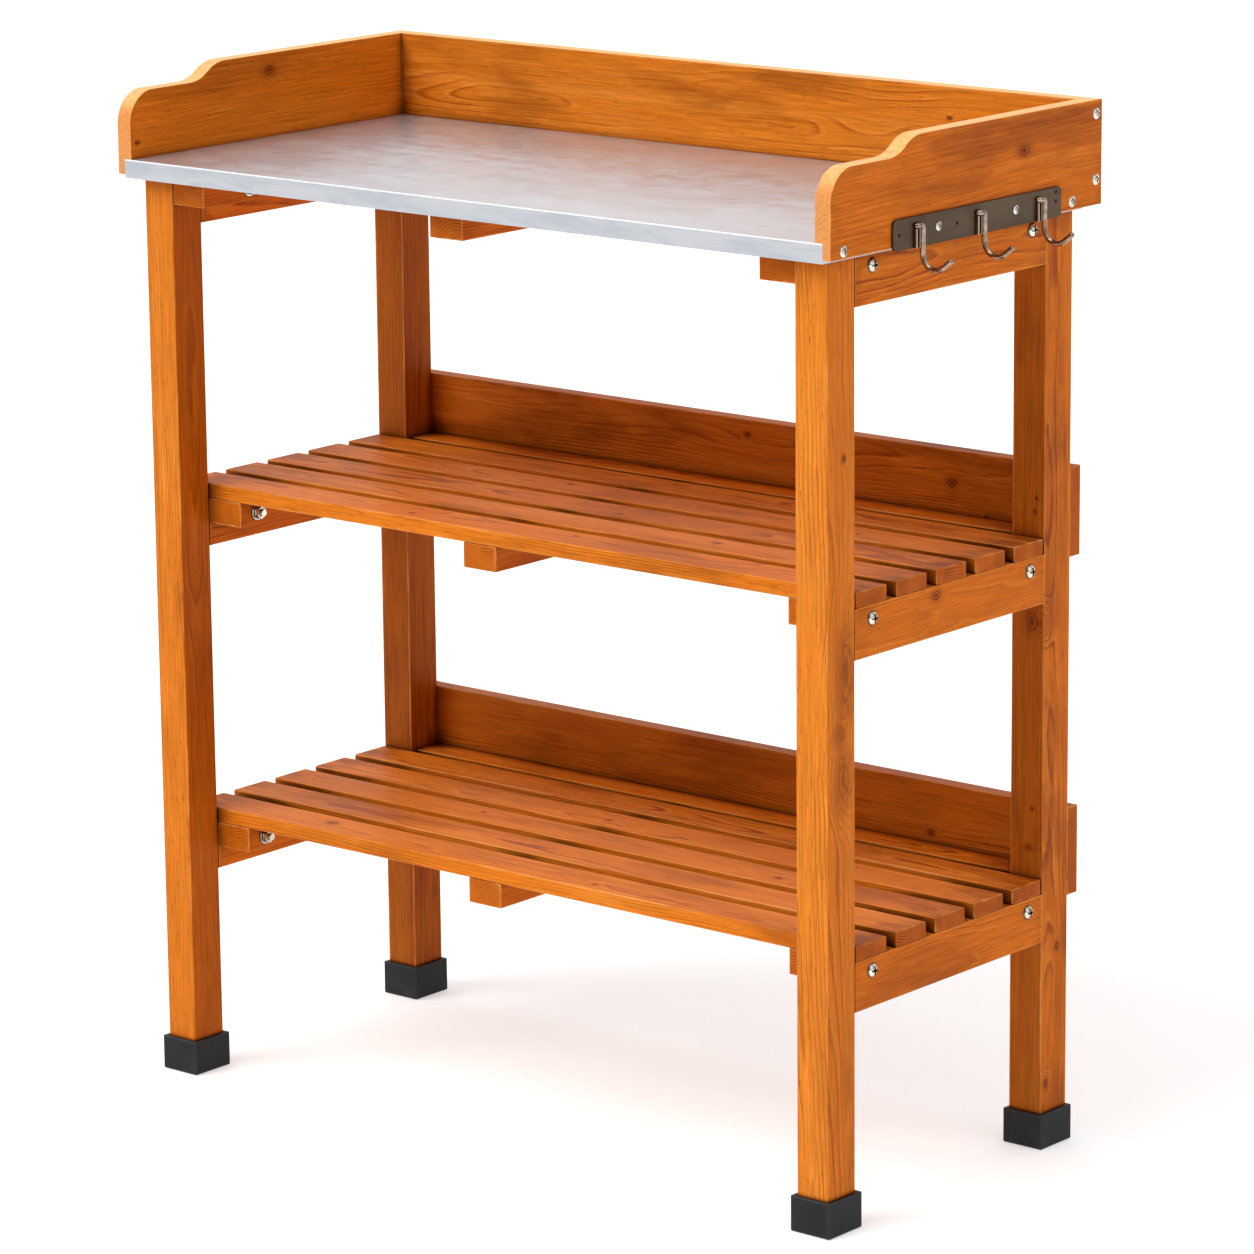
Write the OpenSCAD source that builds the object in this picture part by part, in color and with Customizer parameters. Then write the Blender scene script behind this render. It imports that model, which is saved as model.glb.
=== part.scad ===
// Wooden potting bench: a framed stand with a galvanised work top, two slatted shelves,
// a curved splash guard and a hook rail on the right-hand side.
// Millimetres, +Z up, front towards -Y. The origin is on the floor, at the centre of the footprint.

/* [Frame] */
// Width over the outer faces of the legs
frame_w = 780; // [640:10:900]
// Depth over the front and back faces of the legs
frame_d = 345; // [330:5:400]
// Height of the galvanised work surface above the floor
top_h = 858; // [820:2:900]
// Leg width, seen from the front
leg_w = 34; // [32:1:38]
// Leg depth, seen from the side
leg_d = 38; // [34:1:42]
// Height of the side rails
rail_h = 44; // [40:1:48]

/* [Shelves] */
// Height of the upper shelf surface
mid_h = 556; // [520:2:600]
// Height of the lower shelf surface
low_h = 249; // [200:2:300]
// Slat thickness
slat_t = 14; // [12:1:16]
// Gap between two slats
slat_gap = 13.5; // [10:0.5:16]
// Batten width
batten_w = 38; // [34:1:40]
// Batten height
batten_h = 23; // [21:1:25]
// Distance of the centre battens left of the middle
batten_off = 28; // [0:1:60]
// Height of a shelf back board
lip_board_h = 80; // [70:2:90]
// Height of that board above the shelf surface
lip_rise = 57; // [50:1:60]

/* [Work top] */
// How far the top reaches in front of the legs
top_over_f = 16; // [12:1:24]
// Height of the turned-down sheet edge
flange_h = 17; // [16:1:20]
// Splash guard board thickness
guard_t = 16; // [14:1:18]
// Height of the guard above the work surface at the back
guard_hi = 77; // [70:1:90]
// Height of the low front part of the side guards
guard_lo = 61; // [54:1:66]

/* [Hooks] */
// Length of the hook rail
hook_rail_l = 237; // [230:1:260]
// Distance between neighbouring hooks
hook_pitch = 86; // [76:1:88]
// Hook wire diameter
wire_d = 4.8; // [4:0.1:5]

/* [Hidden] */
$fn = 48;
eps = 0.01;

wood_c = "Peru";
steel_c = "Silver";

// Work top
sheet_t = 0.8;
panel_t = 16;
rabbet_w = guard_t / 2;
top_over_s = guard_t / 2;
panel_under = top_h - sheet_t - panel_t;
guard_over_b = 20;
guard_back_y = frame_d + guard_over_b;
top_back_y = guard_back_y - guard_t;
guard_bottom = top_h - flange_h + 3;

// Foot caps
cap_wall = 4;
cap_h = 32;
cap_base = 4;

// Shelves
rail_top_z = [panel_under, mid_h - slat_t, low_h - slat_t];
slat_y0 = leg_d + 1;
full_slats = 5;
slat_back_clear = 1.5;
slat_w = (frame_d - leg_d - slat_back_clear - slat_y0 - (full_slats - 1) * slat_gap) / full_slats;
last_gap = 8;
last_slat_y = frame_d - leg_d - slat_back_clear + last_gap;
side_clear = 0.5;
lip_board_t = 15;
batten_back_y = frame_d - 0.5;
batten_x = [leg_w, (frame_w - batten_w) / 2 - batten_off, frame_w - leg_w - batten_w];

// Frame bolts
bolt_r = 3;
bolt_hole_r = 3.2;
bolt_y = [61, frame_d - 59];
bolt_head_r = 6.5;
bolt_head_h = 4;
washer_r = 7.5;
washer_t = 1.2;
nut_r = 5.8;
nut_h = 5;
bolt_l = leg_w + batten_w + washer_t + nut_h + 3;
recess_l = 7.4;
recess_w = 2.1;
recess_d = 2.5;

// Wood screws
screw_r = 2;
screw_hole_r = 2.15;
screw_head_r = 5;
screw_head_h = 1.8;
screw_l = 32;
edge_screws = [[2, top_h - 8], [322, top_h - 7]];
end_screws = [[guard_back_y - guard_t / 2, top_h + guard_hi - 12], [guard_back_y - guard_t / 2, top_h + 8]];
lip_screw_l = 38;

// Hook rail
hook_rail_h = 26;
hook_rail_t = 2;
hook_rail_r = 5;
hook_rail_y = 66;
hook_rail_z = top_h - 17;
hook_face_x = frame_w + guard_t + hook_rail_t;
hook_screw_yz = [[hook_rail_y + 62, top_h - 3], [hook_rail_y + 171, top_h - 3]];
hook_screw_l = 9;
hook_first_y = hook_rail_y + 37;
slot_w = 3;
slot_h = 18.5;
lip_w = 1.4;
lip_out = 2.6;
hook_bend_r = 13;
hook_drop = 5.5;
hook_tip_l = 10;
hook_tip_angle = 38;

// Outer box, for the origin
hook_reach = wire_d / 2 + 0.1 + hook_bend_r + hook_bend_r * sin(hook_tip_angle)
    + hook_tip_l * cos(hook_tip_angle) + wire_d / 2;
box_x0 = -guard_t - screw_head_h;
box_x1 = hook_face_x + hook_reach;
box_y0 = -top_over_f;
box_y1 = guard_back_y;

// Moves the outer left front corner of the legs to its place beside the origin
module placed() {
    translate([-(box_x0 + box_x1) / 2, -(box_y0 + box_y1) / 2, 0]) children();
}

module box(x0, x1, y0, y1, z0, z1) {
    translate([x0, y0, z0]) cube([x1 - x0, y1 - y0, z1 - z0]);
}

// A cylinder from a point towards +X
module x_rod(p, r, l) {
    translate(p) rotate([0, 90, 0]) cylinder(r = r, h = l);
}

// A cylinder from a point towards +Y
module y_rod(p, r, l) {
    translate(p) rotate([-90, 0, 0]) cylinder(r = r, h = l);
}

// Mirrors a left-hand piece over to the right-hand side
module right_side() {
    translate([frame_w, 0, 0]) mirror([1, 0, 0]) children();
}

// ---- Legs and feet ----

module leg(x0, y0) {
    color(wood_c) placed() box(x0, x0 + leg_w, y0, y0 + leg_d, cap_base, panel_under);
}

module foot_cap(x0, y0) {
    color("DimGray") placed() difference() {
        box(x0 - cap_wall, x0 + leg_w + cap_wall, y0 - cap_wall, y0 + leg_d + cap_wall, 0, cap_h);
        box(x0, x0 + leg_w, y0, y0 + leg_d, cap_base, cap_h + 1);
    }
}

module leg_front_left() { leg(0, 0); }
module leg_front_right() { leg(frame_w - leg_w, 0); }
module back_leg(x0) {
    color(wood_c) placed() difference() {
        box(x0, x0 + leg_w, frame_d - leg_d, frame_d, cap_base, panel_under);
        lip_screw_holes();
    }
}
module leg_back_left() { back_leg(0); }
module leg_back_right() { back_leg(frame_w - leg_w); }
module cap_front_left() { foot_cap(0, 0); }
module cap_front_right() { foot_cap(frame_w - leg_w, 0); }
module cap_back_left() { foot_cap(0, frame_d - leg_d); }
module cap_back_right() { foot_cap(frame_w - leg_w, frame_d - leg_d); }

// ---- Side rails and battens ----

// Centre height of the bolts on level 0 (top), 1 (upper shelf) or 2 (lower shelf)
function bolt_z(level) = rail_top_z[level] - batten_h / 2;

module bolt_holes(level) {
    for (y = bolt_y) x_rod([-1, y, bolt_z(level)], bolt_hole_r, frame_w + 2);
}

module rail(level, x0) {
    color(wood_c) placed() difference() {
        box(x0, x0 + leg_w, leg_d, frame_d - leg_d, rail_top_z[level] - rail_h, rail_top_z[level]);
        bolt_holes(level);
    }
}

module rail_top_left() { rail(0, 0); }
module rail_top_right() { rail(0, frame_w - leg_w); }
module rail_mid_left() { rail(1, 0); }
module rail_mid_right() { rail(1, frame_w - leg_w); }
module rail_low_left() { rail(2, 0); }
module rail_low_right() { rail(2, frame_w - leg_w); }

module batten(level, place) {
    x0 = batten_x[place];
    y0 = level == 0 ? 2 : slat_y0;
    color(wood_c) placed() difference() {
        box(x0, x0 + batten_w, y0, batten_back_y, rail_top_z[level] - batten_h, rail_top_z[level]);
        if (place != 1) bolt_holes(level);
    }
}

module batten_top_left() { batten(0, 0); }
module batten_top_centre() { batten(0, 1); }
module batten_top_right() { batten(0, 2); }
module batten_mid_left() { batten(1, 0); }
module batten_mid_centre() { batten(1, 1); }
module batten_mid_right() { batten(1, 2); }
module batten_low_left() { batten(2, 0); }
module batten_low_centre() { batten(2, 1); }
module batten_low_right() { batten(2, 2); }

// ---- Shelf slats and shelf back boards ----

// Slats 1 to 5 lie on the rails; the last one fits between the back legs
module slat(number, surface_z) {
    last = number > full_slats;
    inset = last ? leg_w + side_clear : 0;
    y0 = last ? last_slat_y : slat_y0 + (number - 1) * (slat_w + slat_gap);
    y1 = last ? batten_back_y : y0 + slat_w;
    color(wood_c) placed() box(inset, frame_w - inset, y0, y1, surface_z - slat_t, surface_z);
}

module slat_mid_1() { slat(1, mid_h); }
module slat_mid_2() { slat(2, mid_h); }
module slat_mid_3() { slat(3, mid_h); }
module slat_mid_4() { slat(4, mid_h); }
module slat_mid_5() { slat(5, mid_h); }
module slat_mid_6() { slat(6, mid_h); }
module slat_low_1() { slat(1, low_h); }
module slat_low_2() { slat(2, low_h); }
module slat_low_3() { slat(3, low_h); }
module slat_low_4() { slat(4, low_h); }
module slat_low_5() { slat(5, low_h); }
module slat_low_6() { slat(6, low_h); }

// Screw positions of the shelf back boards, as [x, z]
lip_screw_xz = [
    for (h = [mid_h, low_h], x = [leg_w / 2, frame_w - leg_w / 2], up = [-8, lip_rise - 15]) [x, h + up]
];

module lip_screw_holes() {
    for (p = lip_screw_xz) {
        y_rod([p[0], frame_d + lip_board_t - lip_screw_l - 0.5, p[1]], screw_hole_r, lip_screw_l + 1);
    }
}

module shelf_back_board(surface_z) {
    z1 = surface_z + lip_rise;
    color(wood_c) placed() difference() {
        box(0, frame_w, frame_d, frame_d + lip_board_t, z1 - lip_board_h, z1);
        lip_screw_holes();
    }
}

module back_board_mid() { shelf_back_board(mid_h); }
module back_board_low() { shelf_back_board(low_h); }

// ---- Work top ----

// Holes for the screws that enter the work top's edges from both side guards
module edge_screw_holes() {
    for (s = edge_screws) {
        x_rod([-guard_t - 1, s[0], s[1]], screw_hole_r, screw_l + 2);
        right_side() x_rod([-guard_t - 1, s[0], s[1]], screw_hole_r, screw_l + 2);
    }
}

module top_panel() {
    color(wood_c) placed() difference() {
        box(-top_over_s + sheet_t, frame_w + top_over_s - sheet_t, -top_over_f + sheet_t, top_back_y,
            panel_under, panel_under + panel_t);
        edge_screw_holes();
    }
}

module top_sheet() {
    color("LightSlateGray") placed() difference() {
        box(-top_over_s, frame_w + top_over_s, -top_over_f, top_back_y, top_h - flange_h, top_h);
        box(-top_over_s + sheet_t, frame_w + top_over_s - sheet_t, -top_over_f + sheet_t, top_back_y + 1,
            top_h - flange_h - 1, top_h - sheet_t);
        edge_screw_holes();
    }
}

// ---- Splash guard ----

// Side guard outline: [distance from the front end, height]
guard_l = guard_back_y + top_over_f;
front_r = 30;
curve_y0 = 78;
curve_y1 = 125;
rise = guard_hi - guard_lo;
run = curve_y1 - curve_y0;
curve_r = (run * run + rise * rise) / (4 * rise);
curve_ym = (curve_y0 + curve_y1) / 2;

module guard_profile() {
    low_z = top_h + guard_lo;
    high_z = top_h + guard_hi;
    difference() {
        translate([0, guard_bottom]) square([guard_l, low_z - guard_bottom]);
        difference() {
            translate([-1, low_z - front_r]) square([front_r + 1, front_r + 1]);
            translate([front_r, low_z - front_r]) circle(r = front_r, $fn = 96);
        }
    }
    difference() {
        translate([curve_y0, low_z - 1]) square([curve_ym - curve_y0, rise / 2 + 1]);
        translate([curve_y0, low_z + curve_r]) circle(r = curve_r, $fn = 180);
    }
    intersection() {
        translate([curve_ym, low_z - 1]) square([curve_y1 - curve_ym, rise + 1]);
        translate([curve_y1, high_z - curve_r]) circle(r = curve_r, $fn = 180);
    }
    translate([curve_y1 - eps, low_z - 1]) square([guard_l - curve_y1 + eps, rise + 1]);
}

module side_guard_blank() {
    difference() {
        translate([-guard_t, -top_over_f, 0]) rotate([90, 0, 90]) linear_extrude(guard_t) guard_profile();
        box(-rabbet_w, 1, -top_over_f - 1, top_back_y, guard_bottom - 1, top_h);
        for (s = concat(edge_screws, end_screws)) x_rod([-guard_t - 1, s[0], s[1]], screw_hole_r, guard_t + 2);
    }
}

module guard_left() {
    color(wood_c) placed() side_guard_blank();
}

module guard_right() {
    color(wood_c) placed() difference() {
        right_side() side_guard_blank();
        for (s = hook_screw_yz) {
            x_rod([hook_face_x - hook_screw_l - 0.5, s[0], s[1]], screw_hole_r, hook_screw_l + 1);
        }
    }
}

module guard_back() {
    color(wood_c) placed() difference() {
        box(0, frame_w, top_back_y, guard_back_y, guard_bottom, top_h + guard_hi);
        for (s = end_screws) {
            x_rod([-1, s[0], s[1]], screw_hole_r, screw_l);
            x_rod([frame_w - screw_l + 1, s[0], s[1]], screw_hole_r, screw_l);
        }
    }
}

// ---- Hook rail and hooks ----

module rounded_plate(l, h, r) {
    translate([r, 0]) square([l - 2 * r, h]);
    translate([0, r]) square([l, h - 2 * r]);
    for (x = [r, l - r], y = [r, h - r]) translate([x, y]) circle(r = r);
}

function hook_y(i) = hook_first_y + i * hook_pitch;
function slot_y(i) = hook_y(i) - wire_d / 2 - lip_w - slot_w - 0.4;
hook_top_z = hook_rail_z + slot_h;
hook_over = 2 * lip_w + slot_w + 0.8;
elbow_r = wire_d / 2 + 0.1;

module hook_rail() {
    color("SaddleBrown") placed() {
        difference() {
            translate([hook_face_x - hook_rail_t, hook_rail_y, hook_rail_z]) rotate([90, 0, 90])
                linear_extrude(hook_rail_t) rounded_plate(hook_rail_l, hook_rail_h, hook_rail_r);
            for (i = [0:2]) {
                box(hook_face_x - hook_rail_t - 1, hook_face_x + 1, slot_y(i), slot_y(i) + slot_w,
                    hook_rail_z - 1, hook_top_z - wire_d / 2 - lip_w);
                x_rod([hook_face_x - 3, hook_y(i) - hook_over, hook_top_z], wire_d / 2 + 0.05, 4);
            }
            for (s = hook_screw_yz) x_rod([hook_face_x - 3, s[0], s[1]], screw_hole_r, 4);
            for (s = [[8, 13], [hook_rail_l - 8, 14], [hook_rail_l - 8, 22], [88, 13]]) {
                x_rod([hook_face_x - 1, hook_rail_y + s[0], hook_rail_z + s[1]], 1.5, 2);
            }
        }
        // The two lips beside each slot
        for (i = [0:2], y = [slot_y(i) - lip_w, slot_y(i) + slot_w]) {
            box(hook_face_x - eps, hook_face_x + lip_out, y, y + lip_w, hook_rail_z, hook_top_z - wire_d / 2);
        }
    }
}

// One bent wire: out of the rail, over the slot, down, round the bend and up to the tip
module wire_hook(i) {
    x0 = hook_face_x + elbow_r;
    y0 = hook_y(i);
    y_in = y0 - hook_over;
    zb = hook_rail_z - hook_drop;
    r = wire_d / 2;
    color("RosyBrown") placed() {
        x_rod([hook_face_x - hook_rail_t, y_in, hook_top_z], r, hook_rail_t);
        translate([hook_face_x, y_in + elbow_r, hook_top_z]) rotate([0, 0, -90]) wire_bend(elbow_r, 90);
        y_rod([x0, y_in + elbow_r, hook_top_z], r, hook_over - 2 * elbow_r);
        translate([x0, y0 - elbow_r, hook_top_z - elbow_r]) rotate([90, 0, 90]) wire_bend(elbow_r, 90);
        translate([x0, y0, zb]) cylinder(r = r, h = hook_top_z - elbow_r - zb);
        translate([x0 + hook_bend_r, y0, zb]) rotate([90, 0, 0]) rotate([0, 0, 180]) {
            wire_bend(hook_bend_r, 90 + hook_tip_angle);
            rotate([0, 0, 90 + hook_tip_angle]) translate([hook_bend_r, 0, 0]) rotate([-90, 0, 0]) hook_tip();
        }
    }
}

// A bend of the hook wire about +Z, from the +X direction
module wire_bend(bend_r, angle) {
    rotate_extrude(angle = angle, $fn = 96) translate([bend_r, 0]) circle(r = wire_d / 2);
}

// The straight end of a hook, slightly drawn, with a rounded point
module hook_tip() {
    r = wire_d / 2 - 0.05;
    tip_root = 0.5;
    translate([0, 0, -tip_root]) cylinder(r = r, h = hook_tip_l + tip_root);
    translate([0, 0, hook_tip_l]) rotate_extrude() intersection() {
        circle(r = r);
        square(r);
    }
}

module hook_front() { wire_hook(0); }
module hook_centre() { wire_hook(1); }
module hook_rear() { wire_hook(2); }

// ---- Fasteners ----

// A round head with a cross recess, facing -X, with its shank along +X
module recessed_fastener(p, head_r, head_h, shank_r, shank_l) {
    dome_r = (head_r * head_r + head_h * head_h) / (2 * head_h);
    size = head_r / bolt_head_r;
    translate(p) {
        difference() {
            rotate([0, -90, 0]) intersection() {
                cylinder(r = head_r, h = head_h);
                translate([0, 0, head_h - dome_r]) sphere(r = dome_r, $fn = 96);
            }
            for (a = [0, 90]) {
                rotate([a, 0, 0]) box(-head_h - 1, -head_h + recess_d * head_h / bolt_head_h,
                    -recess_l * size / 2, recess_l * size / 2, -recess_w * size / 2, recess_w * size / 2);
            }
        }
        rotate([0, 90, 0]) cylinder(r = shank_r, h = shank_l);
    }
}

module side_bolts() {
    for (level = [0:2], y = bolt_y) {
        recessed_fastener([0, y, bolt_z(level)], bolt_head_r, bolt_head_h, bolt_r, bolt_l);
    }
}

module frame_bolts_left() {
    color(steel_c) placed() side_bolts();
}

module frame_bolts_right() {
    color(steel_c) placed() right_side() side_bolts();
}

module ring(p, r, t) {
    translate(p) rotate([0, 90, 0]) difference() {
        cylinder(r = r, h = t);
        translate([0, 0, -1]) cylinder(r = bolt_hole_r, h = t + 2);
    }
}

module hex_nut(p) {
    translate(p) rotate([0, 90, 0]) difference() {
        cylinder(r = nut_r, h = nut_h, $fn = 6);
        translate([0, 0, -1]) cylinder(r = bolt_r + 0.02, h = nut_h + 2);
    }
}

module side_washers() {
    for (level = [0:2], y = bolt_y) ring([leg_w + batten_w, y, bolt_z(level)], washer_r, washer_t);
}

module side_nuts() {
    for (level = [0:2], y = bolt_y) hex_nut([leg_w + batten_w + washer_t, y, bolt_z(level)]);
}

module frame_washers() {
    color(steel_c) placed() {
        side_washers();
        right_side() side_washers();
    }
}

module frame_nuts() {
    color(steel_c) placed() {
        side_nuts();
        right_side() side_nuts();
    }
}

module guard_screws() {
    for (s = concat(edge_screws, end_screws)) {
        recessed_fastener([-guard_t, s[0], s[1]], screw_head_r, screw_head_h, screw_r, screw_l - guard_t / 2);
    }
}

module guard_screws_left() {
    color(steel_c) placed() guard_screws();
}

module guard_screws_right() {
    color(steel_c) placed() right_side() guard_screws();
}

module hook_rail_screws() {
    color(steel_c) placed() for (s = hook_screw_yz) {
        translate([hook_face_x, s[0], s[1]]) rotate([0, 0, 180])
            recessed_fastener([0, 0, 0], 4.6, screw_head_h, screw_r, hook_screw_l);
    }
}

module shelf_board_screws() {
    color(steel_c) placed() for (p = lip_screw_xz) {
        translate([p[0], frame_d + lip_board_t, p[1]]) rotate([0, 0, -90])
            recessed_fastener([0, 0, 0], screw_head_r, screw_head_h, screw_r, lip_screw_l - 1);
    }
}

leg_front_left();
leg_front_right();
leg_back_left();
leg_back_right();
cap_front_left();
cap_front_right();
cap_back_left();
cap_back_right();
rail_top_left();
rail_top_right();
rail_mid_left();
rail_mid_right();
rail_low_left();
rail_low_right();
batten_top_left();
batten_top_centre();
batten_top_right();
batten_mid_left();
batten_mid_centre();
batten_mid_right();
batten_low_left();
batten_low_centre();
batten_low_right();
slat_mid_1();
slat_mid_2();
slat_mid_3();
slat_mid_4();
slat_mid_5();
slat_mid_6();
slat_low_1();
slat_low_2();
slat_low_3();
slat_low_4();
slat_low_5();
slat_low_6();
back_board_mid();
back_board_low();
top_panel();
top_sheet();
guard_left();
guard_right();
guard_back();
hook_rail();
hook_front();
hook_centre();
hook_rear();
frame_bolts_left();
frame_bolts_right();
frame_nuts();
frame_washers();
guard_screws_left();
guard_screws_right();
hook_rail_screws();
shelf_board_screws();
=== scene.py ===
"""A wooden potting bench: stained wood, a galvanised work top, black foot caps and a bronze hook rail."""

import math
import random
import zlib

import bmesh
import bpy
from mathutils import Matrix, Vector


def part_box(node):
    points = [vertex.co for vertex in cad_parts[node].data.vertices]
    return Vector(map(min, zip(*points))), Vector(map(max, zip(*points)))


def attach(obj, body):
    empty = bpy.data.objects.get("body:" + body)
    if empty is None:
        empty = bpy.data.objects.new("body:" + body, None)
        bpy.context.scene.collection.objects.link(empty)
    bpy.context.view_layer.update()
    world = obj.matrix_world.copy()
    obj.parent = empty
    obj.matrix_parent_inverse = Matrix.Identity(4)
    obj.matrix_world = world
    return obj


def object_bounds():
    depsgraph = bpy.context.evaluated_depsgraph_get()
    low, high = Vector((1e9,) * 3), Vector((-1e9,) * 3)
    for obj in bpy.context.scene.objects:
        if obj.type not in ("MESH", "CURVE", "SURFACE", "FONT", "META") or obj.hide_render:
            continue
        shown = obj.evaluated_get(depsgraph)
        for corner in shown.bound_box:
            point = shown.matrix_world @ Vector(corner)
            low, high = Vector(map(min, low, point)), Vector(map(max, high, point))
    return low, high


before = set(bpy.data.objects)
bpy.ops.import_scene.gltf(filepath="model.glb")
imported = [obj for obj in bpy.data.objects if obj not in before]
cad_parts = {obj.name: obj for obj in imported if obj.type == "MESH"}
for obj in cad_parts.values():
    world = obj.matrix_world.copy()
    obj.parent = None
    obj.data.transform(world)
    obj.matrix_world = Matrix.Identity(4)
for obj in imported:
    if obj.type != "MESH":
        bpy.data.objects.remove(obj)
cad_box = [list(map(float, p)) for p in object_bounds()]
scene = bpy.context.scene
MM = 0.001


# ---- Node graph helper ----


class Graph:
    """Builds a material's nodes. Each call returns an output socket."""

    def __init__(self, name):
        self.mat = bpy.data.materials.new(name)
        self.mat.use_nodes = True
        self.tree = self.mat.node_tree
        self.bsdf = next(n for n in self.tree.nodes if n.type == "BSDF_PRINCIPLED")
        coords = self.tree.nodes.new("ShaderNodeTexCoord")
        self.object = coords.outputs["Object"]
        self.normal = coords.outputs["Normal"]

    def put(self, socket, value):
        if isinstance(value, bpy.types.NodeSocket):
            self.tree.links.new(value, socket)
        else:
            socket.default_value = value

    def math(self, op, a, b=None):
        n = self.tree.nodes.new("ShaderNodeMath")
        n.operation = op
        self.put(n.inputs[0], a)
        if b is not None:
            self.put(n.inputs[1], b)
        return n.outputs[0]

    def add(self, a, b):
        return self.math("ADD", a, b)

    def sub(self, a, b):
        return self.math("SUBTRACT", a, b)

    def mul(self, a, b):
        return self.math("MULTIPLY", a, b)

    def split(self, vector):
        n = self.tree.nodes.new("ShaderNodeSeparateXYZ")
        self.put(n.inputs[0], vector)
        return list(n.outputs)

    def join(self, x, y, z):
        n = self.tree.nodes.new("ShaderNodeCombineXYZ")
        for socket, value in zip(n.inputs, (x, y, z)):
            self.put(socket, value)
        return n.outputs[0]

    def vmul(self, vector, scale, shift=(0, 0, 0)):
        n = self.tree.nodes.new("ShaderNodeVectorMath")
        n.operation = "MULTIPLY_ADD"
        self.put(n.inputs[0], vector)
        self.put(n.inputs[1], scale)
        self.put(n.inputs[2], shift)
        return n.outputs[0]

    def length(self, x, y, z=0.0):
        n = self.tree.nodes.new("ShaderNodeVectorMath")
        n.operation = "LENGTH"
        self.put(n.inputs[0], self.join(x, y, z))
        return n.outputs["Value"]

    def noise(self, vector, scale=1.0, detail=2.0, rough=0.5, warp=0.0):
        n = self.tree.nodes.new("ShaderNodeTexNoise")
        self.put(n.inputs["Vector"], vector)
        n.inputs["Scale"].default_value = scale
        n.inputs["Detail"].default_value = detail
        n.inputs["Roughness"].default_value = rough
        n.inputs["Distortion"].default_value = warp
        return n.outputs["Fac"]

    def cells(self, vector, scale):
        """A random grey for each cell."""
        n = self.tree.nodes.new("ShaderNodeTexVoronoi")
        self.put(n.inputs["Vector"], vector)
        n.inputs["Scale"].default_value = scale
        return self.split(n.outputs["Color"])[0]

    def step(self, value, lo, hi, out_lo=0.0, out_hi=1.0):
        """A smooth step: out_lo below lo, out_hi above hi."""
        n = self.tree.nodes.new("ShaderNodeMapRange")
        n.interpolation_type = "SMOOTHSTEP"
        for i, v in enumerate((value, lo, hi, out_lo, out_hi)):
            self.put(n.inputs[i], v)
        return n.outputs[0]

    def mix(self, fac, a, b, blend="MIX"):
        n = self.tree.nodes.new("ShaderNodeMix")
        n.data_type, n.blend_type = "RGBA", blend
        self.put(n.inputs[0], fac)
        for socket, value in ((n.inputs[6], a), (n.inputs[7], b)):
            self.put(socket, (*value, 1.0) if isinstance(value, tuple) else value)
        return n.outputs[2]

    def grey(self, value):
        return self.join(value, value, value)

    def times(self, colour, other):
        return self.mix(1.0, colour, other, "MULTIPLY")

    def centred(self, value, amount):
        """A noise value about zero, scaled."""
        return self.mul(self.sub(value, 0.5), amount)

    def bump(self, height, distance, strength=1.0):
        n = self.tree.nodes.new("ShaderNodeBump")
        n.inputs["Distance"].default_value = distance
        n.inputs["Strength"].default_value = strength
        self.put(n.inputs["Height"], height)
        self.put(self.bsdf.inputs["Normal"], n.outputs[0])

    def occlusion(self, distance, samples):
        """One on open surfaces, lower in corners and gaps within the given distance."""
        n = self.tree.nodes.new("ShaderNodeAmbientOcclusion")
        n.samples = samples
        n.inputs["Distance"].default_value = distance
        return n.outputs["AO"]

    def surface(self, **values):
        for name, value in values.items():
            self.put(self.bsdf.inputs[name.replace("_", " ")], value)


def seeded(name):
    return random.Random(zlib.crc32(name.encode()))


def box_coords(g, node):
    """Longest axis first: the piece's coordinates about its box centre, its half sizes and its normal."""
    lo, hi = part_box(node)
    order = sorted(range(3), key=lambda i: lo[i] - hi[i])
    axes = g.split(g.object)
    local = [g.sub(axes[i], (lo[i] + hi[i]) / 2) for i in order]
    half = [(hi[i] - lo[i]) / 2 for i in order]
    normal = g.split(g.normal)
    return local, half, [normal[i] for i in order]


def edge_distance(g, local, half):
    """Distance from the nearest edge of the piece's box, for a point on its surface."""
    d = [g.sub(h, g.math("ABSOLUTE", c)) for c, h in zip(local, half)]
    total = g.add(g.add(d[0], d[1]), d[2])
    low = g.math("MINIMUM", g.math("MINIMUM", d[0], d[1]), d[2])
    high = g.math("MAXIMUM", g.math("MAXIMUM", d[0], d[1]), d[2])
    return g.sub(g.sub(total, low), high)


# ---- Stained wood ----

EDGE = (0.93, 0.540, 0.230)
PALE = (0.74, 0.255, 0.036)
LIGHT = (0.60, 0.155, 0.0085)
MEDIUM = (0.44, 0.092, 0.0045)
DEEP = (0.190, 0.033, 0.0025)
KNOT = (0.040, 0.008, 0.0012)
# Painted shade for the faces turned to the right:
RIGHT_FACE_SHADE = (0.96, 0.83, 0.55)  # multiplies the colour of faces turned to the right
AMBER = (1.0, 0.52, 0.17)  # what the varnish reflects

# How far the shade in a tight seam, in a gap between pieces and in a screw's recess reaches
SEAM_REACH, GAP_REACH, RECESS_REACH = 4.2 * MM, 24 * MM, 3 * MM
AO_RAYS = 6
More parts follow.
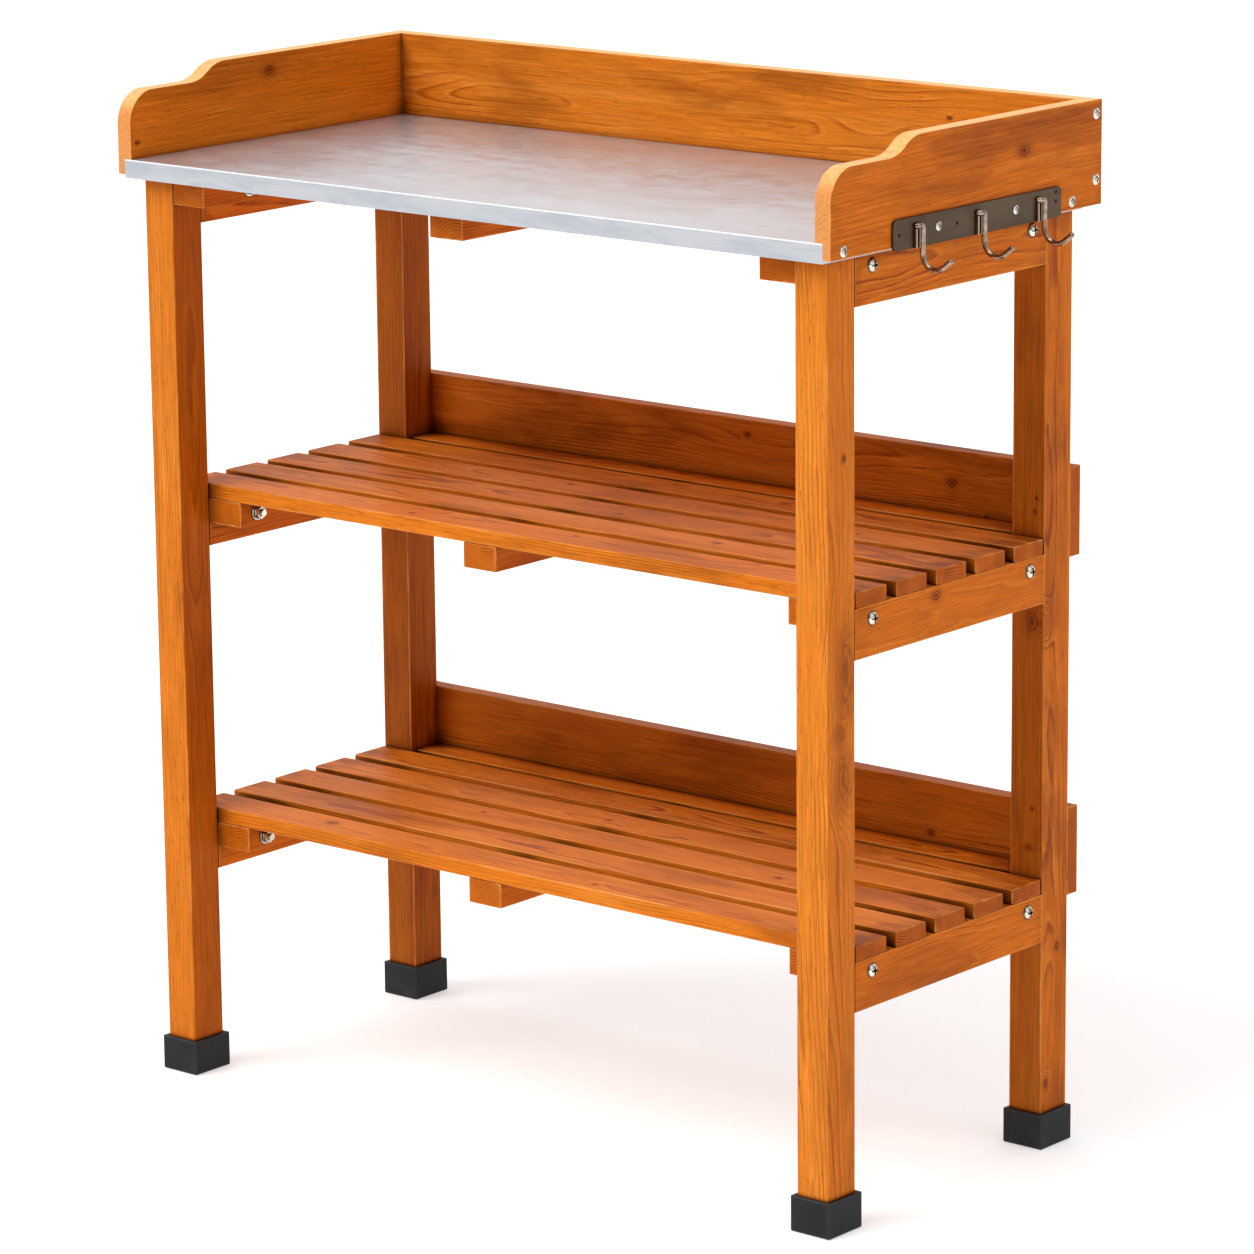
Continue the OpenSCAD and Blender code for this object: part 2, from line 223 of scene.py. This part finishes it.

# What differs, per piece, from the piece's own seeded grain:
#   tilt, pith (mm)         the line the growth rings lie round
#   ring (mm), contrast     their spacing and how dark they are
#   wander, warp            how far that line and the rings stray
#    tone, pale, dark        shifts of the whole colour; dark is painted shade on the pieces at the back
#    faces                   faces painted darker as shade: axis, sign, how much
#   knots                   distance along the piece from its centre, across it and radius, in mm, the axis
#                           the knot runs along (the longest is 0), then optionally its squash and darkness
WOOD = {
    "guard_back": dict(tilt=(0.002, 0.0), pith=(4, 3), ring=6.5, contrast=0.74, pale=0.08,
                       wander=(0.012, 0.140), warp=0.0016, knots=[(255, 18, 1.6, 2)]),
    "guard_left": dict(tilt=(0.006, 0.020), pith=(-60, 46), contrast=0.5, pale=0.10, tone=0.35,
                       knots=[(-7, 30, 4.6, 2), (-182, -17, 1.6, 2)]),
    "guard_right": dict(tilt=(-0.02, 0.03), pith=(-70, 40), ring=3.4, contrast=0.5,
                        knots=[(77, 14, 5.0, 2)]),
    "leg_front_left": dict(pale=0.04, tone=-0.25, contrast=0.7, faces=[(0, 1, 0.38)]),
    "leg_back_left": dict(tone=-0.5, dark=0.42, faces=[(1, -1, 0.34)]),
    "leg_front_right": dict(pale=0.30, tone=-0.30, tilt=(0.004, 0.030), pith=(24, 16),
                            ring=4.6, contrast=1.25,
                            knots=[(66, 6, 9.0, 2, 0.34, 0.45), (16, -2, 6.0, 2, 0.80, 0.30),
                                   (-24, 3, 7.5, 2, 0.42, 0.35), (250, 3, 2.5, 2)]),
    "leg_back_right": dict(tone=-0.3, tilt=(0.004, 0.014), faces=[(1, -1, 0.46)],
                           knots=[(58, 5, 6.5, 1, 0.70, 1.0), (156, 7, 1.1, 1), (168, 8, 1.0, 1),
                                  (-111, 6, 1.1, 1), (-147, 2, 4.6, 1, 1.60, 1.0), (-364, -12, 3.2, 2),
                                  (-240, 4, 2.6, 2)]),
    "rail_mid_right": dict(tilt=(0.004, 0.006), knots=[(-22, 14, 4.2, 2)], contrast=0.45),
    "rail_low_right": dict(tilt=(0.0, 0.03), pith=(14, 30), contrast=0.6),
    "back_board_mid": dict(tilt=(0.010, 0.024), pith=(-34, 40), tone=-0.30, dark=0.04,
                           knots=[(262, 10, 3.6, 2), (236, -28, 2.8, 2), (30, 26, 2.0, 2),
                                  (300, -16, 1.0, 2)]),
    "back_board_low": dict(tilt=(-0.008, 0.02), pith=(30, 36), tone=-0.4, dark=0.30,
                           knots=[(240, -8, 2.6, 2)]),
    "slat_mid_1": dict(knots=[(-120, -6, 2.0, 2), (60, 8, 1.6, 2)]),
    "slat_mid_2": dict(knots=[(175, 4, 2.6, 2)]),
    "slat_mid_3": dict(knots=[(30, -9, 2.2, 2)]),
    "slat_mid_4": dict(knots=[(-90, 8, 2.4, 2), (250, -4, 1.6, 2)]),
    "slat_mid_5": dict(knots=[(120, 2, 2.0, 2)]),
    "slat_low_1": dict(knots=[(-235, 3, 4.0, 2), (90, -8, 1.8, 2)]),
    "slat_low_3": dict(knots=[(205, -5, 2.6, 2), (-150, 5, 1.6, 2)]),
    "slat_low_4": dict(knots=[(-40, -2, 2.0, 2)]),
    "slat_low_5": dict(knots=[(140, 9, 2.0, 2)]),
}


def wood(node):
    rnd = seeded(node)
    opt = WOOD.get(node, {})
    slat = node.startswith("slat")
    side = rnd.choice((-1, 1))
    pith = opt.get("pith", (rnd.uniform(-14, 14), side * rnd.uniform(26, 48)))
    tilt = opt.get("tilt", (rnd.uniform(-0.006, 0.006), rnd.uniform(-0.012, 0.012)))
    ring = opt.get("ring", rnd.uniform(2.2, 3.2)) * MM
    contrast = opt.get("contrast", rnd.uniform(0.75, 1.0))
    tone = opt.get("tone", 0.0) + rnd.uniform(-0.22, 0.22)
    pale, dark = opt.get("pale", 0.0), opt.get("dark", 0.0)
    wander, warp = opt.get("wander", (0.026, 0.026)), opt.get("warp", 0.0026)
    shift = [tuple(rnd.uniform(-50, 50) for _ in range(3)) for _ in range(8)]

    g = Graph("wood_" + node)
    local, half, normal = box_coords(g, node)
    a, b, c = local
    q = g.join(a, b, c)

    # Growth rings: distance from a wandering pith line that runs nearly along the piece
    slow = g.noise(g.vmul(q, (2.2, 11, 11), shift[0]), detail=2.0)
    slow2 = g.noise(g.vmul(q, (2.6, 9, 9), shift[1]), detail=2.0)
    fast = g.noise(g.vmul(q, (17, 75, 75), shift[2]), detail=4.0, rough=0.6)
    rb = g.add(g.add(b, pith[0] * MM), g.add(g.mul(a, tilt[0]), g.centred(slow, wander[0])))
    rc = g.add(g.add(c, pith[1] * MM), g.add(g.mul(a, tilt[1]), g.centred(slow2, wander[1])))
    radius = g.add(g.length(rb, rc), g.centred(fast, warp))

    core = halo = None
    for ka, kb, kr, axis, *shape in opt.get("knots", []):
        squash, darkness = shape or (0.66, 1.0)
        across = g.sub(local[3 - axis], kb * MM)
        wobble = g.centred(fast, kr * 1.3 * MM)
        d = g.add(g.length(g.mul(g.sub(a, ka * MM), squash), across), wobble)
        swirl = g.step(d, 0.0, kr * 3.6 * MM, 1.0, 0.0)
        if axis == 1:  # it shows on the near face only
            swirl = g.mul(swirl, g.step(local[1], -half[1], 0.0, 1.0, 0.0))
        radius = g.add(radius, g.mul(swirl, kr * 3.0 * MM))
        rim = g.step(g.math("ABSOLUTE", g.sub(d, kr * 0.80 * MM)), 0.0001, 0.0009, 1.0, 0.0)
        heart = g.step(d, kr * 0.22 * MM, kr * 0.6 * MM, darkness, 0.0)
        inner = g.math("MAXIMUM", heart, g.mul(rim, darkness))
        near = g.step(d, kr * 0.7 * MM, kr * 2.6 * MM, 1.0, 0.0)
        core = inner if core is None else g.math("MAXIMUM", core, inner)
        halo = near if halo is None else g.math("MAXIMUM", halo, near)

    phase = g.add(g.math("DIVIDE", radius, ring), g.mul(g.noise(g.vmul(q, (5, 20, 20), shift[3])), 1.6))
    part = g.math("FRACT", phase)
    late = g.mul(g.step(part, 0.50, 0.90), g.step(part, 0.93, 1.0, 1.0, 0.0))
    strength = g.step(g.noise(g.vmul(q, (4.0, 34, 34), shift[4]), detail=2.0), 0.34, 0.66, 0.22, 1.0)
    if halo is not None:
        strength = g.math("MAXIMUM", strength, halo)
    late = g.mul(late, g.mul(strength, contrast))
    early = g.mul(g.step(part, 0.0, 0.03), g.step(part, 0.10, 0.26, 1.0, 0.0))

    # Fibres, thin dark streaks, short pores and soft stain blotches
    fibre = g.noise(g.vmul(q, (10, 400, 400), shift[5]), detail=4.0, rough=0.66)
    hair = g.noise(g.vmul(q, (22, 900, 900), shift[6]), detail=2.0, rough=0.6)
    pores = g.step(g.noise(g.vmul(q, (95, 860, 860), shift[7]), detail=1.0), 0.665, 0.72)
    blotch = g.noise(g.vmul(q, (4.5, 15, 15), shift[2]), detail=4.0, rough=0.60)
    band = g.noise(g.vmul(q, (0.9, 52, 52), shift[1]), detail=1.0)
    flame = g.noise(g.vmul(q, (7, 90, 90), shift[0]), detail=5.0, rough=0.68, warp=0.6)
    streak = g.noise(g.vmul(q, (4.4, 210, 210), shift[3]), detail=4.0, rough=0.65, warp=0.4)
    where = g.noise(g.vmul(q, (3, 22, 22), shift[6]), detail=1.0)
    streak = g.mul(g.step(streak, 0.58, 0.66), g.step(where, 0.42, 0.60))

    colour = g.mix(g.step(late, 0.0, 0.95), LIGHT, MEDIUM)
    colour = g.mix(g.mul(g.step(late, 0.35, 0.95), 0.52), colour, DEEP)
    colour = g.mix(g.mul(early, g.mul(strength, 0.42)), colour, PALE)
    colour = g.mix(g.mul(g.step(flame, 0.52, 0.66), 0.24), colour, MEDIUM)
    colour = g.mix(g.mul(g.step(flame, 0.32, 0.46, 1.0, 0.0), 0.22), colour, PALE)
    colour = g.mix(g.mul(g.step(band, 0.52, 0.74), 0.30), colour, PALE)
    colour = g.mix(g.mul(g.step(blotch, 0.50, 0.70), 0.50 - 0.30 * tone), colour, DEEP)
    colour = g.mix(g.mul(g.step(blotch, 0.30, 0.45, 1.0, 0.0), 0.25), colour, PALE)
    colour = g.mix(g.mul(streak, 0.34), colour, DEEP)
    # Painted shade: dark darkens the whole piece, for the pieces at the back that sit in shadow
    if dark:
        colour = g.mix(dark, colour, DEEP)
    # Painted shade on the faces listed in faces
    for axis, sign, amount in opt.get("faces", []):
        facing = g.step(g.mul(g.split(g.normal)[axis], sign), 0.5, 0.85, 0.0, amount)
        colour = g.mix(facing, colour, DEEP)
    if pale:
        colour = g.mix(pale, colour, PALE)
    shade = g.add(g.centred(fibre, 0.60), g.add(g.centred(hair, 0.90), 1.0 + 0.15 * tone))
    colour = g.times(colour, g.grey(shade))
    colour = g.mix(g.mul(pores, 0.45), colour, DEEP)

    # The ends drink more stain, and the long edges are lighter, partly from sanding and partly as a
    # painted highlight
    at_end = g.sub(half[0], g.math("ABSOLUTE", a))
    reach, amount = (62 * MM, 0.72) if slat else (14 * MM, 0.35)
    end_soft = g.step(g.add(at_end, g.centred(blotch, 0.110)), 0.0, reach, 1.0, 0.0)
    patch = g.noise(g.vmul(q, (26, 60, 60), shift[4]), detail=3.0, rough=0.6)
    patch = g.step(patch, 0.40, 0.60, 0.25, 1.0)
    colour = g.mix(g.mul(g.mul(end_soft, patch), amount), colour, DEEP)
    end_face = g.step(g.math("ABSOLUTE", normal[0]), 0.75, 0.95)
    rings_on_end = g.mix(g.step(late, 0.05, 0.7), MEDIUM, DEEP)
    colour = g.mix(g.mul(end_face, 0.60), colour, rings_on_end)
    if node.startswith("guard"):  # the sawn edges of the guard boards take less stain than their faces
        sawn = g.step(g.math("ABSOLUTE", normal[2]), 0.35, 0.75, 1.0, 0.0)
        # Painted highlight: sawn edges that face up are paler than those that face down
        upper = g.step(g.split(g.normal)[2], 0.30, 0.85, 0.42, 0.84)
        bare = g.mix(g.step(fibre, 0.30, 0.60, 0.25, 0.95), PALE, EDGE)
        colour = g.mix(g.mul(sawn, upper), colour, bare)
    # Lighter long edges: sanding wear plus a painted highlight
    edge = edge_distance(g, local, half)
    worn_and_highlit = g.step(g.add(edge, g.mul(g.sub(fast, 0.44), 0.0040)), 0.0004, 0.0017, 1.0, 0.0)
    edge_lightening = g.step(blotch, 0.40, 0.60, 0.62, 0.30)
    colour = g.mix(g.mul(worn_and_highlit, edge_lightening), colour, g.mix(0.35, PALE, EDGE))
    if core is not None:
        whorl = g.step(g.math("FRACT", g.math("DIVIDE", radius, 0.0012)), 0.4, 0.8)
        colour = g.mix(g.mul(halo, 0.42), colour, DEEP)
        colour = g.mix(g.mul(core, 0.92), colour, g.mix(whorl, DEEP, KNOT))

    # Painted shade: the sides turned to the right are darkened to a deeper orange
    painted_right_shade = g.step(g.split(g.normal)[0], 0.50, 0.85)
    colour = g.mix(painted_right_shade, colour, g.times(colour, RIGHT_FACE_SHADE))

    # Darker where pieces meet, partly stain gathered at the joints and partly painted shade; the gaps
    # between them are darkened with painted shade
    seam_stain_and_shade = g.step(g.occlusion(SEAM_REACH, AO_RAYS), 0.40, 0.93, 0.22, 1.0)
    shut_in, open_air = (0.30, 0.82) if slat else (0.20, 0.64)
    gap_shade = g.step(g.occlusion(GAP_REACH, AO_RAYS), shut_in, open_air, 0.06, 1.0)
    joint_stain_and_shade = g.math("MINIMUM", seam_stain_and_shade, gap_shade)
    colour = g.times(colour, g.join(joint_stain_and_shade, g.math("POWER", joint_stain_and_shade, 1.15), g.math("POWER", joint_stain_and_shade, 1.3)))

    rough = g.add(g.mul(fibre, 0.22), g.add(g.mul(late, -0.05), 0.40))
    g.surface(Base_Color=colour, Roughness=g.add(rough, g.mul(worn_and_highlit, 0.08)), Specular_IOR_Level=0.12,
              Specular_Tint=(*AMBER, 1.0))
    height = g.add(g.mul(fibre, 0.55), g.add(g.mul(late, 0.30), g.mul(pores, -0.5)))
    if core is not None:
        height = g.sub(height, g.mul(core, 0.6))
    g.bump(height, 0.00022, 0.85)
    return g.mat


# ---- Metals and rubber ----


def galvanised():
    g = Graph("galvanised_sheet")
    p = g.object
    cloud = g.noise(g.vmul(p, (5, 9, 9)), detail=4.0, rough=0.6)
    streak = g.noise(g.vmul(p, (7, 120, 60), (3, 1, 4)), detail=3.0, rough=0.62, warp=0.6)
    wave = g.noise(g.vmul(p, (16, 46, 30), (7, 2, 5)), detail=2.0, warp=1.2)
    flake = g.cells(g.vmul(p, (1, 1, 1), (0.2, 0.1, 0)), 62.0)
    scratch = g.step(g.noise(g.vmul(p, (9, 620, 620), (2, 9, 1)), detail=1.0), 0.69, 0.73)
    scratch = g.mul(scratch, g.step(g.noise(g.vmul(p, (3, 5, 5), (8, 3, 3))), 0.50, 0.60))
    level = g.add(g.centred(cloud, 0.50), g.add(g.centred(flake, 0.10), 0.50))
    level = g.add(level, g.centred(streak, 0.34))
    level = g.math("MINIMUM", g.math("MAXIMUM", level, 0.0), 1.0)
    colour = g.mix(level, (0.495, 0.500, 0.525), (0.705, 0.710, 0.735))
    upright = g.step(g.math("ABSOLUTE", g.split(g.normal)[2]), 0.4, 0.8, 1.0, 0.0)
    mottle = g.noise(g.vmul(p, (16, 40, 90), (5, 5, 1)), detail=5.0, rough=0.65, warp=0.5)
    mottle = g.mul(g.step(mottle, 0.36, 0.66), 0.45)
    colour = g.mix(g.mul(upright, g.add(mottle, 0.30)), colour, (0.40, 0.435, 0.48))
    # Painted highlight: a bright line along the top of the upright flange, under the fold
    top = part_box("top_sheet")[1][2]
    fold_highlight = g.step(g.split(p)[2], top - 1.8 * MM, top - 0.8 * MM)
    colour = g.mix(g.mul(upright, g.mul(fold_highlight, 0.8)), colour, (0.97, 0.98, 1.0))
    colour = g.mix(g.mul(scratch, 0.5), colour, (0.95, 0.95, 0.97))
    rough = g.add(g.mul(flake, 0.06), g.add(g.mul(cloud, 0.12), 0.25))
    rough = g.add(g.centred(streak, 0.16), rough)
    g.surface(Base_Color=colour, Metallic=0.76, Roughness=rough, Specular_IOR_Level=0.3)
    height = g.add(g.mul(streak, 0.45), g.add(g.mul(wave, 0.6), g.mul(flake, 0.10)))
    g.bump(height, 0.00009, 0.6)
    return g.mat


def rubber(node):
    g = Graph("rubber_" + node)
    local, half, _ = box_coords(g, node)
    p = g.vmul(g.object, (1, 1, 1), tuple(seeded(node).uniform(-9, 9) for _ in range(3)))
    grain = g.noise(p, 900.0, 3.0, 0.6)
    cloud = g.noise(p, 38.0, 3.0)
    # Painted highlight: the cap's edges are lighter
    from_edge = g.add(edge_distance(g, local, half), g.centred(cloud, 0.002))
    edge = g.step(from_edge, 0.0004, 0.0024, 1.0, 0.0)
    dust = g.mul(g.step(cloud, 0.55, 0.75), g.step(g.split(g.object)[2], 0.0, 20 * MM, 0.55, 0.12))
    colour = g.mix(g.step(cloud, 0.3, 0.7), (0.008, 0.008, 0.009), (0.014, 0.014, 0.0155))
    colour = g.mix(g.mul(edge, 0.35), colour, (0.050, 0.050, 0.054))
    colour = g.mix(dust, colour, (0.036, 0.033, 0.030))
    rough = g.add(g.mul(grain, 0.18), g.add(g.mul(cloud, 0.12), 0.40))
    g.surface(Base_Color=colour, Roughness=rough, Specular_IOR_Level=0.22)
    g.bump(g.add(grain, g.mul(cloud, 0.8)), 0.00012, 0.7)
    return g.mat


def rail_plate():
    g = Graph("bronze_plate")
    local, half, _ = box_coords(g, "hook_rail")
    p = g.object
    brushed = g.noise(g.vmul(p, (60, 22, 1500), (4, 2, 1)), detail=3.0, rough=0.6)
    cloud = g.noise(g.vmul(p, (30, 24, 40), (1, 6, 2)), detail=3.0)
    # Painted highlights: the plate's edges and its raised lips are bright
    from_edge = g.add(edge_distance(g, local, half), g.centred(cloud, 0.0006))
    edge = g.step(from_edge, 0.0001, 0.0009, 1.0, 0.0)
    lip_highlight = g.step(local[2], 0.0002, 0.0007)
    colour = g.mix(g.step(cloud, 0.3, 0.7), (0.043, 0.028, 0.017), (0.088, 0.056, 0.034))
    colour = g.mix(g.mul(brushed, 0.35), colour, (0.15, 0.105, 0.070))
    colour = g.mix(g.math("MAXIMUM", g.mul(edge, 0.6), g.mul(lip_highlight, 0.75)), colour, (0.66, 0.50, 0.37))
    g.surface(Base_Color=colour, Metallic=1.0, Roughness=g.add(g.mul(brushed, 0.20), 0.22))
    g.bump(g.add(brushed, g.mul(cloud, 0.5)), 0.00006, 0.7)
    return g.mat


def bright_metal(name, dark, light, rough, seed, axis=None, rim=(0.0, 0.0)):
    """Plated steel, with painted shade in recesses and close to other surfaces. Heads whose axis is given
    also get a painted dark ring of shade where their dome turns down to the rim.
    """
    g = Graph(name)
    p = g.vmul(g.object, (1, 1, 1), (seed, seed * 0.7, seed * 0.3))
    fine = g.noise(p, 1400.0, 2.0)
    cloud = g.noise(p, 160.0, 3.0, 0.6)
    stain = g.step(g.noise(p, 420.0, 2.0), 0.60, 0.72)
    colour = g.mix(g.step(cloud, 0.3, 0.7), dark, light)
    colour = g.mix(g.mul(stain, 0.30), colour, tuple(0.45 * v for v in dark))
    # Painted shade: darker in recesses and close to other surfaces, and on heads a painted dark ring at
    # the rim
    open_air = g.step(g.occlusion(RECESS_REACH, 8), 0.45, 0.92, 0.04, 1.0)
    if axis is not None:
        facing = g.math("ABSOLUTE", g.split(g.normal)[axis])
        shank = g.step(facing, 0.05, 0.20, 1.0, 0.0)
        open_air = g.mul(open_air, g.math("MAXIMUM", shank, g.step(facing, rim[0], rim[1], 0.10, 1.0)))
    colour = g.times(colour, g.grey(open_air))
    rough = g.add(g.mul(fine, 0.12), g.add(g.mul(stain, 0.12), rough))
    g.surface(Base_Color=colour, Metallic=1.0, Roughness=rough)
    g.bump(g.add(fine, cloud), 0.00004, 0.6)
    return g.mat


PLATING = ((0.64, 0.58, 0.46), (0.92, 0.88, 0.76), 0.16)
BOLT_RIM_SHADE = (0.55, 0.72)
SCREW_RIM_SHADE = (0.79, 0.86)
NUT = bright_metal("bright_nuts", (0.50, 0.46, 0.38), (0.84, 0.80, 0.70), 0.20, 7.0)
BOLT = bright_metal("bright_bolts", *PLATING, 3.0, 0, BOLT_RIM_SHADE)
SCREW = bright_metal("bright_screws", *PLATING, 6.0, 0, SCREW_RIM_SHADE)
BACK_SCREW = bright_metal("bright_back_screws", *PLATING, 4.0, 1, SCREW_RIM_SHADE)
WIRE = bright_metal("hook_wire", (0.22, 0.155, 0.110), (0.48, 0.37, 0.28), 0.12, 8.0)
NAIL = bright_metal("nail_steel", (0.075, 0.050, 0.036), (0.16, 0.105, 0.070), 0.38, 5.0)
SHEET = galvanised()
PLATE = rail_plate()


# Eased edges, in mm
LEG_EASE, BOARD_EASE, CAP_EASE, SHEET_EASE, PLATE_EASE = 1.9, 1.2, 1.2, 0.5, 0.25
EASE_FROM_ANGLE = 32


def dress(obj, mat, bevel=0, segments=3):
    """Gives a CAD node its material and, where a bevel is given, eased edges."""
    obj.data.materials.clear()
    obj.data.materials.append(mat)
    if bevel:
        weld = obj.modifiers.new("weld", "WELD")
        weld.merge_threshold = 1e-5
        flat = obj.modifiers.new("flat", "DECIMATE")
        flat.decimate_type, flat.angle_limit = "DISSOLVE", math.radians(1)
        ease = obj.modifiers.new("ease", "BEVEL")
        ease.width, ease.segments = bevel * MM, segments
        ease.limit_method, ease.angle_limit = "ANGLE", math.radians(EASE_FROM_ANGLE)
        ease.miter_outer = "MITER_ARC"
        even = obj.modifiers.new("even", "WEIGHTED_NORMAL")
        even.keep_sharp = False
        even.weight = 80


WOOD_PREFIXES = ("leg_", "rail_", "batten_", "slat_", "back_board", "top_panel", "guard_")
for name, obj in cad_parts.items():
    if name.startswith("frame_"):
        dress(obj, BOLT if "bolts" in name else NUT)
    elif name.endswith("_screws") or name.startswith("guard_screws"):
        dress(obj, BACK_SCREW if name == "shelf_board_screws" else SCREW)
    elif name.startswith("cap_"):
        dress(obj, rubber(name), CAP_EASE)
    elif name == "top_sheet":
        dress(obj, SHEET, SHEET_EASE)
    elif name == "hook_rail":
        dress(obj, PLATE, PLATE_EASE, 2)
    elif name.startswith("hook_"):
        dress(obj, WIRE)
    elif name.startswith(WOOD_PREFIXES):
        dress(obj, wood(name), LEG_EASE if name.startswith("leg_") else BOARD_EASE)


# ---- Nails ----


def nail_heads(name, places, normal, radius):
    """Small sunk nail heads as one piece, at points on a surface whose outward normal is given."""
    bm = bmesh.new()
    turn = Vector(normal).to_track_quat("Z", "Y").to_matrix().to_4x4()
    rings = ((0.0, 0.10), (0.55, 0.085), (0.85, 0.02), (1.0, -0.12))  # distance out and height, in radii
    sides = 14
    lean = 0.10
    for i, place in enumerate(places):
        rnd = seeded("%s%d" % (name, i))
        lean_x = Matrix.Rotation(rnd.uniform(-lean, lean), 4, "X")
        lean_y = Matrix.Rotation(rnd.uniform(-lean, lean), 4, "Y")
        here = Matrix.Translation(place) @ turn @ lean_x @ lean_y
        size = radius * rnd.uniform(0.85, 1.1)
        loops = []
        for r, h in rings:
            count = 1 if r == 0 else sides
            loop = []
            for k in range(count):
                t = 2 * math.pi * k / count
                point = Vector((size * r * math.cos(t), size * r * math.sin(t), h * radius))
                loop.append(bm.verts.new(here @ point))
            loops.append(loop)
        for k in range(sides):
            n = (k + 1) % sides
            bm.faces.new((loops[0][0], loops[1][k], loops[1][n]))
            for lower, upper in zip(loops[1:], loops[2:]):
                bm.faces.new((lower[k], upper[k], upper[n], lower[n]))
        bm.faces.new(list(reversed(loops[-1])))
    mesh = bpy.data.meshes.new(name)
    bm.normal_update()
    bm.to_mesh(mesh)
    bm.free()
    for face in mesh.polygons:
        face.use_smooth = True
    obj = bpy.data.objects.new(name, mesh)
    scene.collection.objects.link(obj)
    mesh.materials.append(NAIL)
    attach(obj, "root")


NAIL_RADIUS = 1.3 * MM
NAIL_SUNK = 0.1 * MM
for shelf in ("mid", "low"):
    spots = []
    for number in range(1, 7):
        lo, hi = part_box("slat_%s_%d" % (shelf, number))
        rnd = seeded("nails%s%d" % (shelf, number))
        for place in ("left", "centre", "right"):
            b_lo, b_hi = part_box("batten_%s_%s" % (shelf, place))
            x = (b_lo[0] + b_hi[0]) / 2
            for part in (0.27, 0.73):
                x_here = x + rnd.uniform(-0.006, 0.006)
                y_here = lo[1] + (hi[1] - lo[1]) * part + rnd.uniform(-0.002, 0.002)
                spots.append(Vector((x_here, y_here, hi[2] - NAIL_SUNK)))
    nail_heads("nails_" + shelf, spots, (0, 0, 1), NAIL_RADIUS)


# ---- Floor, light and camera ----

FLOOR_DROP = 0.5 * MM


def floor():
    """A plain pale floor. A little light of its own keeps the shadows on it faint."""
    g = Graph("floor")
    cloud = g.noise(g.object, 0.9, 3.0)
    colour = g.mix(g.step(cloud, 0.3, 0.7), (0.610, 0.610, 0.610), (0.630, 0.630, 0.630))
    g.surface(Base_Color=colour, Roughness=g.add(g.mul(cloud, 0.1), 0.8), Specular_IOR_Level=0.1,
              Emission_Color=(1.0, 1.0, 1.0, 1.0), Emission_Strength=0.46)
    bm = bmesh.new()
    bmesh.ops.create_circle(bm, cap_ends=True, radius=30, segments=96)
    mesh = bpy.data.meshes.new("floor")
    bm.to_mesh(mesh)
    bm.free()
    mesh.materials.append(g.mat)
    obj = bpy.data.objects.new("floor", mesh)
    obj.location.z = cad_box[0][2] - FLOOR_DROP
    scene.collection.objects.link(obj)


floor()

# The studio is brighter at the back left, which the work top reflects
BRIGHT_SIDE = (-0.64, 0.77, 0.0)
SKY_DIM, SKY_BRIGHT = 0.30, 1.10
world = bpy.data.worlds.new("studio")
scene.world = world
world.use_nodes = True
sky = world.node_tree
back = sky.nodes["Background"]
direction = sky.nodes.new("ShaderNodeTexCoord").outputs["Generated"]
toward = sky.nodes.new("ShaderNodeVectorMath")
toward.operation = "DOT_PRODUCT"
toward.inputs[1].default_value = BRIGHT_SIDE
sky.links.new(direction, toward.inputs[0])
glow = sky.nodes.new("ShaderNodeMapRange")
glow.interpolation_type = "SMOOTHSTEP"
for socket, value in zip(glow.inputs[1:], (-0.2, 0.8, SKY_DIM, SKY_BRIGHT)):
    socket.default_value = value
sky.links.new(toward.outputs["Value"], glow.inputs[0])
sky.links.new(glow.outputs[0], back.inputs["Strength"])
back.inputs["Color"].default_value = (1.0, 1.0, 1.0, 1.0)


def soft_sun(name, azimuth, elevation, strength, angle, colour=(1, 1, 1), gloss=1.0):
    """A broad, soft light. Azimuth 0 shines from the front, 90 from the right."""
    data = bpy.data.lights.new(name, "SUN")
    data.energy, data.angle, data.color = strength, math.radians(angle), colour
    data.specular_factor = gloss
    az, el = math.radians(azimuth), math.radians(elevation)
    source = Vector((math.sin(az) * math.cos(el), -math.cos(az) * math.cos(el), math.sin(el)))
    obj = bpy.data.objects.new(name, data)
    obj.location = source * 5
    obj.rotation_euler = source.to_track_quat("Z", "Y").to_euler()
    scene.collection.objects.link(obj)


soft_sun("key", -24, 47, 2.42, 40, (1.0, 0.99, 0.975))
soft_sun("side", 84, 30, 0.42, 50, gloss=0.2)
soft_sun("top", 50, 74, 0.75, 60)

scene.view_settings.view_transform = "Standard"

CAMERA_PLACE = (3.1812, -3.7867, 1.6028)
LENS = 162.60
YAW, PITCH, ROLL = (math.radians(v) for v in (39.943, -13.136, -0.563))
forward = Vector((-math.sin(YAW) * math.cos(PITCH), math.cos(YAW) * math.cos(PITCH), math.sin(PITCH)))
level = Vector((math.cos(YAW), math.sin(YAW), 0.0))
upward = level.cross(forward)
right = math.cos(ROLL) * level + math.sin(ROLL) * upward
up = -math.sin(ROLL) * level + math.cos(ROLL) * upward
camera_data = bpy.data.cameras.new("camera")
camera_data.sensor_width, camera_data.lens = 36.0, LENS
camera_data.clip_start, camera_data.clip_end = 0.1, 100.0
camera = bpy.data.objects.new("camera", camera_data)
turned = Matrix((right, up, -forward)).transposed().to_4x4()
camera.matrix_world = Matrix.Translation(CAMERA_PLACE) @ turned
scene.collection.objects.link(camera)
scene.camera = camera
